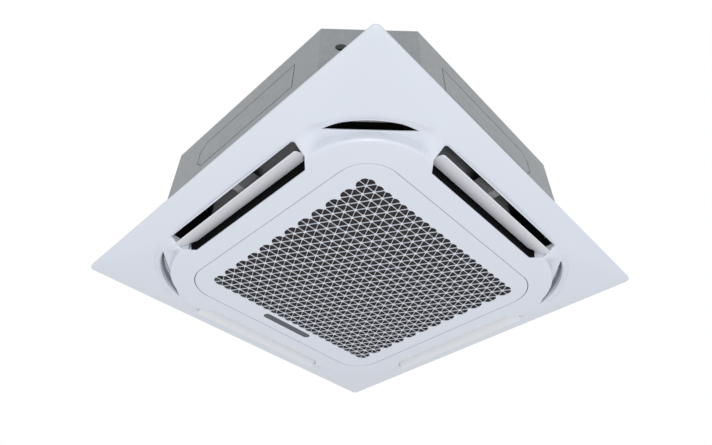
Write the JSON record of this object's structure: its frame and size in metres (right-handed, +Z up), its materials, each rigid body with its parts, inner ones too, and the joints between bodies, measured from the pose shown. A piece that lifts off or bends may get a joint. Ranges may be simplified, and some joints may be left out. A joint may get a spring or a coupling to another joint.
{
  "type": "ceiling cassette air conditioner",
  "caption": "Four-way ceiling cassette air conditioner: square white panel with side louvres, corner outlets and a perforated hinged intake grille, under a galvanised eight-sided casing.",
  "frame": {"origin": "middle of the four suspension slots, at mid-thickness of the hanger plates; the finished ceiling is 140 mm below it", "axes": "+Z up; X and Y along the panel's sides, +Y towards the display window; the pipes leave at the corner between +X and +Y"},
  "size_m": [0.95, 0.95, 0.344],
  "materials": {
    "panel_white": "cool white moulded ABS, satin",
    "louvre_white": "white moulded ABS, satin",
    "white_plastic": "white moulded plastic",
    "galvanised_steel": "galvanised sheet, faint spangle",
    "zinc_screws": "bright zinc",
    "bright_steel": "ground steel",
    "grey_foam": "closed-cell foam sheet",
    "dark_foam": "moulded bead foam, black",
    "pan_foam": "moulded bead foam, mid grey",
    "black_rubber": "moulded rubber",
    "black_plastic": "moulded plastic",
    "motor_housing": "painted grey",
    "fan_plastic": "glass-filled plastic, light grey",
    "fin_aluminium": "coated fins",
    "copper": "drawn copper tube",
    "brass": "turned brass",
    "clear_hose": "drain hose",
    "circuit_board": "laminate with parts",
    "cream_plastic": "moulded terminal strip",
    "filter_plastic": "moulded frame",
    "filter_net": "woven net",
    "display_lens": "smoked lens"
  },
  "bodies": {
    "root": {"casing_wall": "galvanised_steel", "casing_top": "galvanised_steel", "hanger_brackets": "galvanised_steel", "wall_insulation": "grey_foam", "top_insulation": "grey_foam", "casing_screws": "zinc_screws", "motor_mount": "galvanised_steel", "motor_grommets": "black_rubber", "motor_nuts": "zinc_screws", "fan_motor": "motor_housing", "bell_mouth": "black_plastic", "coil_fins": "fin_aluminium", "coil_end_plates": "galvanised_steel", "coil_tube_bends": "copper", "gas_header": "copper", "liquid_distributor": "brass", "gas_pipe": "copper", "liquid_pipe": "copper", "gas_union": "brass", "liquid_union": "brass", "pipe_cover": "galvanised_steel", "drain_pan": "pan_foam", "drain_pump": "black_plastic", "pump_bracket": "galvanised_steel", "drain_tube": "clear_hose", "drain_outlet": "black_plastic", "float_stem": "white_plastic", "electrical_box": "galvanised_steel", "electrical_box_cover": "galvanised_steel", "control_board": "circuit_board", "terminal_block": "cream_plastic", "panel_frame": "panel_white", "hinge_pins": "bright_steel", "outlet_liners": "dark_foam", "panel_gasket": "grey_foam", "panel_screws": "zinc_screws", "louvre_motors": "motor_housing", "latch_housings": "white_plastic"},
    "fan": {"fan_shaft": "bright_steel", "fan_hub": "fan_plastic", "fan_blades": "fan_plastic", "fan_shroud": "fan_plastic", "fan_nut": "zinc_screws"},
    "louvre_back": {"louvre_back": "louvre_white"},
    "louvre_left": {"louvre_left": "louvre_white"},
    "louvre_front": {"louvre_front": "louvre_white"},
    "louvre_right": {"louvre_right": "louvre_white"},
    "intake_grille": {"grille": "panel_white", "grille_frame": "panel_white", "filter_frame": "filter_plastic", "filter_mesh": "filter_net", "display_window": "display_lens", "display_board": "circuit_board"},
    "latch_plunger_left": {"latch_plunger_left": "white_plastic"},
    "latch_plunger_right": {"latch_plunger_right": "white_plastic"},
    "float": {"float": "white_plastic"}
  },
  "joints": [
    {"name": "fan_spin", "type": "hinge", "parent": "root", "child": "fan", "pos_m": [0, 0, 0.085], "axis": [0, 0, 1], "continuous": true},
    {"name": "louvre_back_swing", "type": "hinge", "parent": "root", "child": "louvre_back", "pos_m": [0, 0.381, -0.164], "axis": [-1, 0, 0], "range_deg": [-51, 34]},
    {"name": "louvre_left_swing", "type": "hinge", "parent": "root", "child": "louvre_left", "pos_m": [-0.381, 0, -0.164], "axis": [0, -1, 0], "range_deg": [-51, 34]},
    {"name": "louvre_front_swing", "type": "hinge", "parent": "root", "child": "louvre_front", "pos_m": [0, -0.381, -0.164], "axis": [1, 0, 0], "range_deg": [-51, 34]},
    {"name": "louvre_right_swing", "type": "hinge", "parent": "root", "child": "louvre_right", "pos_m": [0.381, 0, -0.164], "axis": [0, 1, 0], "range_deg": [-51, 34]},
    {"name": "grille_hinge", "type": "hinge", "parent": "root", "child": "intake_grille", "pos_m": [0, 0.3205, -0.1785], "axis": [1, 0, 0], "range_deg": [0, 85]},
    {"name": "latch_left_push", "type": "slide", "parent": "root", "child": "latch_plunger_left", "axis": [0, 0, 1], "range_m": [0, 0.003], "stiffness_N_per_m": 400},
    {"name": "latch_right_push", "type": "slide", "parent": "root", "child": "latch_plunger_right", "axis": [0, 0, 1], "range_m": [0, 0.003], "stiffness_N_per_m": 400},
    {"name": "float_rise", "type": "slide", "parent": "root", "child": "float", "axis": [0, 0, 1], "range_m": [0, 0.012]}
  ]
}
